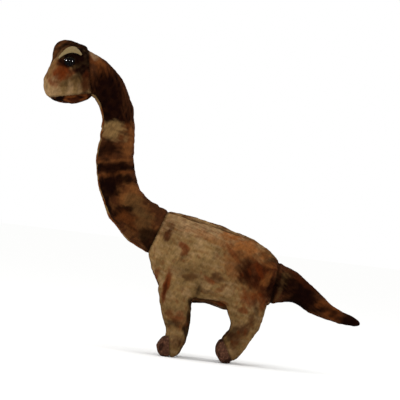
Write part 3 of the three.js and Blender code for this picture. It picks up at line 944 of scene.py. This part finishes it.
def plush(name, pile, depth, contrast, sheen_tint):
    """Knitted short-pile plush, sheared and printed. pile is the width of a tuft in mm and depth is
    how far tufts stand out. The nap gives fine strokes that lie one way, darker between tufts, and
    a dusty sheen where the cloth turns away."""
    material, tree = new_material(name)
    # The dye attribute holds the cloth's colour, with painted shade and highlights on the printed panels.
    dye = add(tree, "ShaderNodeAttribute", {"attribute_name": "dye"})
    cloth = add(tree, "ShaderNodeAttribute", {"attribute_name": "cloth"}).outputs["Vector"]
    # The pile lies over, so its tufts are drawn out along the toy's height.
    lie = {"Rotation": (0, 0.35, 0), "Scale": (1, 1, 0.42)}
    lay = add(tree, "ShaderNodeMapping", lie, {0: cloth}).outputs[0]
    marks_shape = {"Scale": per_mm(2.6), "Detail": 2.0, "Distortion": 1.2}
    tuft_shape = {"Scale": per_mm(pile), "Detail": 3.0, "Roughness": 0.6}
    nap_shape = {"Scale": per_mm(5), "Detail": 3.0, "Distortion": 0.6}
    tufts = add(tree, "ShaderNodeTexNoise", tuft_shape, {0: lay}).outputs["Fac"]
    nap = add(tree, "ShaderNodeTexNoise", nap_shape, {0: cloth}).outputs["Fac"]
    marks = add(tree, "ShaderNodeTexNoise", marks_shape, {0: lay}).outputs["Fac"]
    shade = dye.outputs["Color"]
    tones = (
        (tufts, (0.3, 0.7, 1 - contrast, 1 + contrast)),
        (nap, (0.35, 0.65, 0.93, 1.07)),
        (marks, (0.36, 0.5, 0.85, 1.02)),
    )
    for pattern, levels in tones:
        tone = add(tree, "ShaderNodeMapRange", dict(zip(RANGE, levels)), {"Value": pattern})
        scaled = {0: shade, "Scale": tone.outputs[0]}
        shade = add(tree, "ShaderNodeVectorMath", {"operation": "SCALE"}, scaled).outputs[0]
    waves = add(tree, "ShaderNodeBump", {"Strength": 0.5, "Distance": 0.5 * MM}, {"Height": nap})
    bump = add(
        tree,
        "ShaderNodeBump",
        {"Strength": 0.75, "Distance": depth * MM},
        {"Height": tufts, "Normal": waves.outputs["Normal"]},
    )
    shader = add(
        tree,
        "ShaderNodeBsdfPrincipled",
        {
            "Roughness": 0.9,
            "Specular IOR Level": 0.02,
            "Sheen Weight": 0.03,
            "Sheen Roughness": 0.4,
            "Sheen Tint": (*linear(sheen_tint), 1),
        },
        {"Base Color": shade, "Normal": bump.outputs["Normal"]},
    )
    return finish_material(material, tree, shader)


def two_tone(name, dark, light, size, roughness, bump_depth, extra):
    """A finish of two near colours clouded together, size mm apart, with a bump of the same noise.
    extra holds the shader's other constants."""
    material, tree = new_material(name)
    place = add(tree, "ShaderNodeTexCoord", {}).outputs["Object"]
    clouds = {"Scale": per_mm(size), "Detail": 5.0, "Roughness": 0.65}
    noise = add(tree, "ShaderNodeTexNoise", clouds, {0: place}).outputs["Fac"]
    two = {"data_type": "RGBA", 6: (*linear(dark), 1), 7: (*linear(light), 1)}
    mix = add(tree, "ShaderNodeMix", two, {0: noise})
    rough = add(tree, "ShaderNodeMapRange", dict(zip(RANGE, (0.3, 0.7, *roughness))), {"Value": noise})
    relief = {"Strength": 0.6, "Distance": bump_depth * MM}
    bump = add(tree, "ShaderNodeBump", relief, {"Height": noise})
    shader = add(
        tree,
        "ShaderNodeBsdfPrincipled",
        extra,
        {"Base Color": mix.outputs[2], "Roughness": rough.outputs[0], "Normal": bump.outputs["Normal"]},
    )
    return finish_material(material, tree, shader)


MATERIALS = {}
FELT = {"Specular IOR Level": 0.15, "Sheen Weight": 0.15}
FIBRE = {"Sheen Weight": 0.3, "Specular IOR Level": 0.3}
EYE = {"Specular IOR Level": 0.8, "IOR": 1.5, "Coat Weight": 1.0, "Coat IOR": 1.8, "Coat Roughness": 0.03}
NYLON = {"IOR": 1.53}


class MakeFinishes(bpy.types.Operator):
    """Make the materials of the cloths, the filling and the plastics"""

    bl_idname = "dinosaur.finishes"
    bl_label = "Mix the finishes"

    def execute(self, context):
        dye = context.scene.dinosaur_dye
        # Polyester velboa with a 1.5 mm pile, printed after knitting: matt, with soft-edged colours.
        MATERIALS["printed_plush"] = plush("Printed velboa", 0.9, 0.3, 0.12, "8a6238")
        # The same velboa in a darker dye, brushed up a little more.
        MATERIALS["crown_plush"] = plush("Dark brushed velboa", 1.0, 0.45, 0.2, "6a452a")
        # A fluffier plush with tufts that part, so it shows light and dark specks.
        MATERIALS["cap_plush"] = plush("Toe cap plush", 1.5, 0.9, 0.4, "6a4a40")
        finishes = {
            # Needle-felted polyester: no weave, fibres matted every way, almost no shine.
            "felt": ("Eyelid felt", "63522f", dye.felt, 0.7, (0.9, 1.0), 0.3, FELT),
            # Carded hollow polyester fibre: bright, clumped, and soft in its shadows.
            "fibre": ("Polyester fibrefill", "cfcabd", dye.fibre, 2.2, (0.7, 0.95), 1.4, FIBRE),
            # Injection moulded ABS, polished black: near-black with sharp lights.
            "eye_plastic": ("Black safety eye", "030202", "060404", 4, (0.03, 0.06), 0.01, EYE),
            # Natural nylon, moulded thin: milky, with a faint satin grain.
            "washer_plastic": ("Nylon washer", "d8d2c2", "e6e1d4", 1.5, (0.35, 0.5), 0.05, NYLON),
        }
        for slot, finish in finishes.items():
            MATERIALS[slot] = two_tone(*finish)
        for name, node in NODES.items():
            if "washer" in name:
                node.data.materials.clear()
                node.data.materials.append(MATERIALS["washer_plastic"])
        return {"FINISHED"}


# ---- Panels ----
def stretch(piece, part):
    """Lets a piece follow the part of the toy that it belongs to. Pieces of the torso and the head
    follow their body whole, and toe caps follow their leg; every other piece keeps its place."""
    if part in ("torso", "head"):
        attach(piece, part)
    elif part == "neck":
        NECK_SEAM.moved(50 * MM)
        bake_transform(piece)
    elif part == "nape":
        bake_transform(piece)
    elif part == "tail":
        TAIL_SEAM.moved(35 * MM)
        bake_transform(piece)
    elif part.startswith("foot"):
        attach(piece, part.replace("foot", "leg"))
    else:
        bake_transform(piece)


def cloth_pieces():
    """Every panel: the name it was cut by, the CAD node it stands for, its part and its slot."""
    pieces = [
        ("back_gusset", "back_gusset", "torso", "printed_plush"),
        ("belly_gusset", "belly_gusset", "torso", "printed_plush"),
        ("crown_gusset", "crown_gusset", "head", "crown_plush"),
        ("jaw_panel", "jaw_panel", "head", "printed_plush"),
        ("throat", "throat_gusset", "neck", "printed_plush"),
        ("throat_upper", "throat_gusset", "nape", "printed_plush"),
    ]
    for side in SIDES:
        pieces += [
            ("trunk_" + side, "body_side_" + side, "torso", "printed_plush"),
            ("head_" + side, "cheek_" + side, "head", "printed_plush"),
            ("neck_" + side, "neck_side_" + side, "neck", "printed_plush"),
            ("neck_upper_" + side, "neck_side_" + side, "nape", "printed_plush"),
            ("tail_side_" + side, "tail_side_" + side, "tail", "printed_plush"),
        ]
    for leg in LEGS:
        pieces += [
            ("leg_" + leg, "leg_outer_" + leg, "leg_" + leg, "printed_plush"),
            ("leg_" + leg + "_inner", "leg_inner_" + leg, "leg_" + leg, "printed_plush"),
            ("foot_cap_" + leg, "foot_cap_" + leg, "foot_" + leg, "cap_plush"),
        ]
    return pieces


class MakePanels(bpy.types.Operator):
    """Cut the filled suit into its panels of real cloth, and colour them with their dye, painted shade and
    painted highlights
    """

    bl_idname = "dinosaur.panels"
    bl_label = "Cut and dye the panels"

    def execute(self, context):
        cloth, dye = context.scene.dinosaur_cloth, context.scene.dinosaur_dye
        cut_all_panels()
        colours = dye_and_painted_light_at(SUIT["points"], dye)
        caps = cap_dye_at(SUIT["points"], dye)
        for label, node, part, slot in cloth_pieces():
            mesh, used = panel_mesh(label, PANELS[label], cloth.thickness)
            laid_colour = (caps if slot == "cap_plush" else colours)[used]
            places = SUIT["points"][used]
            colour_cloth(mesh, np.concatenate([laid_colour, laid_colour]), np.concatenate([places, places]))
            mesh.materials.append(MATERIALS[slot])
            piece = new_piece("sewn_" + label, mesh)
            stretch(piece, part)
            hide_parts(node)
        return {"FINISHED"}


# ---- Filling ----
def cut_mesh(mesh, height, above):
    """Keeps the part of a closed mesh above or below a height, and closes the cut."""
    work = bmesh.new()
    work.from_mesh(mesh)
    parts = work.verts[:] + work.edges[:] + work.faces[:]
    bmesh.ops.bisect_plane(
        work,
        geom=parts,
        plane_co=(0, 0, height),
        plane_no=(0, 0, 1),
        clear_inner=above,
        clear_outer=not above,
    )
    bmesh.ops.holes_fill(work, edges=[e for e in work.edges if e.is_boundary])
    bmesh.ops.triangulate(work, faces=[f for f in work.faces if len(f.verts) > 4])
    work.to_mesh(mesh)
    work.free()
    mesh.update()


class MakeFilling(bpy.types.Operator):
    """Tease the wads of fibre out of the plain filling solids"""

    bl_idname = "dinosaur.filling"
    bl_label = "Stuff with fibre"

    def execute(self, context):
        cloth = context.scene.dinosaur_cloth
        wads = [
            ("trunk", "trunk_filling", "torso"),
            ("head", "head_filling", "head"),
            ("neck", "neck_filling", "neck"),
            ("nape", "neck_filling", "nape"),
            ("tail", "tail_filling", "tail"),
        ]
        wads += [("leg_" + leg, "leg_filling_" + leg, "leg_" + leg) for leg in LEGS]
        for name, node, part in wads:
            piece = new_piece("wad_" + name, gathered([node]))
            remeshed(piece, 3.2 * MM)
            mesh = piece.data
            points = relax(points_of(mesh), edges_of(mesh), (0.5, 0.5))
            move_points(mesh, points)
            lumps = 0.5 * ripple(points, 13 * MM, 61) + 0.35 * ripple(points, 6 * MM, 62) - 1.0
            move_points(mesh, points + normals_of(mesh) * (lumps * MM)[:, None])
            inside = piece.modifiers.new("Inside the cloth", "SHRINKWRAP")
            inside.target = SUIT["object"]
            inside.wrap_mode = "INSIDE"
            inside.offset = cloth.thickness + 0.7 * MM
            bake_modifiers(piece)
            mesh = piece.data
            if node == "neck_filling":
                cut_mesh(mesh, NECK_SPLIT, part == "nape")
            mesh.materials.clear()
            mesh.materials.append(MATERIALS["fibre"])
            stretch(piece, part)
            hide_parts(node)
        bpy.data.objects.remove(SUIT["object"])
        return {"FINISHED"}


# ---- Eyes and eyelids ----
def lathe(profile, centre, way, sides):
    """A closed turned mesh. Point (i, j) is centre + way * height_i along Y, + radius_i *
    (cos a_j, sin a_j) in X and Z, and the first and last profile points lie on the axis."""
    radius, height = profile[1:-1].T
    angle = np.arange(sides) * 2 * np.pi / sides
    rings = np.stack(
        [
            centre[0] + radius[:, None] * np.cos(angle),
            centre[1] + way * height[:, None] + 0 * angle,
            centre[2] - way * radius[:, None] * np.sin(angle),
        ],
        2,
    )
    count = len(radius)
    ends = centre + np.outer(profile[[0, -1], 1], [0, way, 0])
    points = np.concatenate([rings.reshape(-1, 3), ends])
    i, j = np.meshgrid(np.arange(count - 1), np.arange(sides), indexing="ij")
    a, b = i * sides + j, i * sides + (j + 1) % sides
    quads = np.stack([a, b, b + sides, a + sides], 2).reshape(-1, 4)
    turn = np.arange(sides)
    following = (turn + 1) % sides
    first, last = count * sides, count * sides + 1
    top = np.stack([np.full(sides, first), following, turn], 1)
    base = (count - 1) * sides
    bottom = np.stack([np.full(sides, last), base + turn, base + following], 1)
    return points, quads.tolist() + top.tolist() + bottom.tolist()


def eye_profile(radius, height, depth, stem):
    """Half outline of a safety eye, from the top of its dome to the tip of its stem: the dome is a
    part of a circle that ends in a small rounded rim, and the stem has ridges and a blunt tip."""
    ball = (radius**2 + height**2) / (2 * height)
    edge = np.arcsin(radius / ball) * np.linspace(0, 0.96, 22)
    dome = np.stack([ball * np.sin(edge), height - ball * (1 - np.cos(edge))], 1)
    turn = np.linspace(0.35, np.pi, 7)[:, None]
    rim_size = 0.45 * MM
    rim = [[radius - rim_size, rim_size]] + rim_size * np.concatenate([np.sin(turn), np.cos(turn)], 1)
    along = np.linspace(-0.4 * MM, -depth + 1.2 * MM, 60)
    ridges = stem - 0.22 * MM * ease(0.15, 0.85, 0.5 - 0.5 * np.cos(along * 2 * np.pi / (1.3 * MM)))
    shaft = np.stack([ridges, along], 1)
    tip = [[stem * 0.8, -depth + 0.5 * MM], [stem * 0.45, -depth + 0.1 * MM], [0, -depth]]
    return np.concatenate([dome, rim, [[stem + 0.5 * MM, 0]], shaft, tip])


class MakeEyes(bpy.types.Operator):
    """Turn the two safety eyes"""

    bl_idname = "dinosaur.eyes"
    bl_label = "Turn the eyes"

    def execute(self, context):
        for side in SIDES:
            low, high = EYE_BOX[side]
            centre, way = eye_place(side)
            radius = (high.x - low.x) / 2
            outer = high.y if way > 0 else low.y
            centre[1] = outer - way * EYE_DOME
            depth = (high.y - low.y) - EYE_DOME
            points, faces = lathe(eye_profile(radius, EYE_DOME, depth, 2 * MM), centre, way, 64)
            mesh = new_mesh("eye", points, faces)
            mesh.materials.append(MATERIALS["eye_plastic"])
            piece = new_piece("safety_eye_" + side, mesh)
            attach(piece, "head")
            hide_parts("eye_" + side)
        return {"FINISHED"}


def curve_through(first, middle, last, t):
    """The parabola through three points at t = 0, 1/2 and 1."""
    a, b, c = (np.array(q, float) for q in (first, middle, last))
    t = t[:, None]
    return a * (1 - t) * (1 - 2 * t) + b * 4 * t * (1 - t) + c * t * (2 * t - 1)


def on_suit(x, z, way):
    """Height over the middle plane, and outward way, of the suit beside each x, z: means over the
    suit's points on that side, weighted by exp(-(distance / 2 mm) ** 2)."""
    points, normals = SUIT["points"], SUIT["normals"]
    near = (points[:, 1] * way > 0) & (head_field(points) > 0) & (points[:, 2] > CHIN_HEIGHT + 30 * MM)
    points, normals = points[near], normals[near]
    far = (x[:, None] - points[:, 0]) ** 2 + (z[:, None] - points[:, 2]) ** 2
    weight = np.exp(-far / (2 * MM) ** 2) + 1e-12
    weight /= weight.sum(1)[:, None]
    out = weight @ normals
    return weight @ points[:, 1], out / np.linalg.norm(out, axis=1)[:, None]


def lid_mesh(side):
    """An eyelid: a crescent between two parabolas, laid on the head along its upper edge, with its
    lower edge standing off over the eye like an awning. Its outline goes round both faces."""
    centre, way = eye_place(side)
    rows, columns = 61, 13
    t, s = np.linspace(0, 1, rows), np.linspace(0, 1, columns)
    place = centre[[0, 2]] / MM
    upper = curve_through(place + (-12.4, 2.6), place + (-0.6, 16.0), place + (12.0, 9.2), t)
    lower = curve_through(place + (-11.4, 2.0), place + (-0.4, 9.2), place + (11.2, 7.9), t)
    flat = (upper[:, None] + s[:, None] * (lower - upper)[:, None]) * MM
    flat = flat.reshape(-1, 2)
    height, out = on_suit(flat[:, 0], flat[:, 1], way)
    lift = 0.3 * MM + 2.6 * MM * np.outer(np.sin(np.pi * t) ** 0.7, s**1.5).ravel()
    skin = np.stack([flat[:, 0], height, flat[:, 1]], 1)
    under = skin + 0.4 * out * lift[:, None] + 0.75 * np.outer(lift, [0, way, 0])
    over = under + out * 1.3 * MM
    over += out * (0.12 * MM * ripple(over, 3 * MM, 71))[:, None]
    quads = grid_quads(rows, columns)
    edge = np.r_[
        np.arange(0, columns - 1),
        np.arange(columns - 1, rows * columns - 1, columns),
        np.arange(rows * columns - 1, (rows - 1) * columns, -1),
        np.arange((rows - 1) * columns, 0, -columns),
    ]
    following = np.roll(edge, -1)
    total = rows * columns
    rim = np.stack([following, edge, edge + total, following + total], 1)
    faces = np.concatenate([quads, quads[:, ::-1] + total, rim])
    if way < 0:
        faces = faces[:, ::-1]
    mesh = new_mesh("lid", np.concatenate([over, under]), faces)
    return mesh


class MakeEyelids(bpy.types.Operator):
    """Cut the felt eyelids and lay them over the eyes"""

    bl_idname = "dinosaur.eyelids"
    bl_label = "Sew on the eyelids"

    def execute(self, context):
        for side in SIDES:
            piece = new_piece("felt_lid_" + side, lid_mesh(side))
            round_edges = piece.modifiers.new("Bevel", "BEVEL")
            round_edges.width = 0.35 * MM
            round_edges.segments = 2
            bake_modifiers(piece)
            piece.data.materials.append(MATERIALS["felt"])
            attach(piece, "head")
            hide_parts("eyelid_" + side)
        return {"FINISHED"}


# ---- Stage ----
class MakeStage(bpy.types.Operator):
    """Set the pale floor, the soft lights and the camera"""

    bl_idname = "dinosaur.stage"
    bl_label = "Set the stage"

    def execute(self, context):
        scene = context.scene
        side, rings = 9.0, 13
        spread = np.linspace(-side, side, rings)
        x, y = np.meshgrid(spread, spread, indexing="ij")
        grid = np.stack([x, y, 0 * x], 2).reshape(-1, 3)
        i, j = np.meshgrid(np.arange(rings - 1), np.arange(rings - 1), indexing="ij")
        a = (i * rings + j).ravel()
        faces = np.stack([a, a + rings, a + rings + 1, a + 1], 1)
        sweep = new_piece("paper_floor", new_mesh("floor", grid, faces))
        paper = {"Specular IOR Level": 0.0}
        # Matt paper roll: plain, with no texture to speak of.
        white = two_tone("White paper", "fcfcfb", "fefefd", 40, (0.9, 0.95), 0.01, paper)
        sweep.data.materials.append(white)
        sweep.visible_glossy = False
        world = bpy.data.worlds.new("Studio")
        world.use_nodes = True
        background = world.node_tree.nodes["Background"]
        background.inputs["Color"].default_value = (1, 1, 1, 1)
        seen = add(world.node_tree, "ShaderNodeLightPath", {})
        strength = add(
            world.node_tree,
            "ShaderNodeMapRange",
            {"To Min": 1.0, "To Max": 0.03},
            {"Value": seen.outputs["Is Glossy Ray"]},
        )
        world.node_tree.links.new(strength.outputs[0], background.inputs["Strength"])
        scene.world = world
        aim = Vector((-0.0020, 0, 0.1744))
        lights = (
            ("left_box", (-1.5, -0.3, 0.7), 0.18, 5),
            ("right_box", (1.3, -0.8, 0.7), 0.16, 5),
            ("front_box", (-0.3, -1.3, 1.15), 0.14, 3),
        )
        for name, place, size, power in lights:
            light = bpy.data.lights.new(name, "AREA")
            light.shape = "DISK"
            light.size = size
            light.energy = power
            lamp = bpy.data.objects.new(name, light)
            lamp.location = place
            lamp.rotation_euler = (aim - Vector(place)).to_track_quat("-Z", "Y").to_euler()
            scene.collection.objects.link(lamp)
        camera = bpy.data.cameras.new("camera")
        camera.lens = 300
        camera.sensor_width = 36
        camera.clip_end = 60
        view = bpy.data.objects.new("camera", camera)
        roll = math.radians(6.75)
        right, back = Vector((math.cos(roll), 0, math.sin(roll))), Vector((0, -1, 0))
        up = Vector((-math.sin(roll), 0, math.cos(roll)))
        matrix = Matrix((right, up, back)).transposed().to_4x4()
        matrix.translation = aim + back * 3.667
        view.matrix_world = matrix
        scene.collection.objects.link(view)
        scene.camera = view
        scene.view_settings.view_transform = "Standard"
        return {"FINISHED"}


class DINOSAUR_PT_making(bpy.types.Panel):
    """The steps of making the toy, in order, with their sizes and colours"""

    bl_idname = "DINOSAUR_PT_making"
    bl_label = "Plush dinosaur"
    bl_space_type = "VIEW_3D"
    bl_region_type = "UI"
    bl_category = "Plush dinosaur"

    def draw(self, context):
        layout = self.layout
        for operator in OPERATORS:
            layout.operator(operator.bl_idname)
        for settings in (context.scene.dinosaur_cloth, context.scene.dinosaur_dye):
            box = layout.box()
            for name in settings.__annotations__:
                box.prop(settings, name)


OPERATORS = (MakeSuit, MakeFinishes, MakePanels, MakeFilling, MakeEyes, MakeEyelids, MakeStage)
CLASSES = (ClothSettings, DyeSettings, *OPERATORS, DINOSAUR_PT_making)


def register():
    for kind in CLASSES:
        bpy.utils.register_class(kind)
    bpy.types.Scene.dinosaur_cloth = PointerProperty(type=ClothSettings)
    bpy.types.Scene.dinosaur_dye = PointerProperty(type=DyeSettings)


def unregister():
    del bpy.types.Scene.dinosaur_dye
    del bpy.types.Scene.dinosaur_cloth
    for kind in reversed(CLASSES):
        bpy.utils.unregister_class(kind)


def main():
    register()
    for operator in OPERATORS:
        group, name = operator.bl_idname.split(".")
        getattr(getattr(bpy.ops, group), name)()


if __name__ == "__main__":
    main()
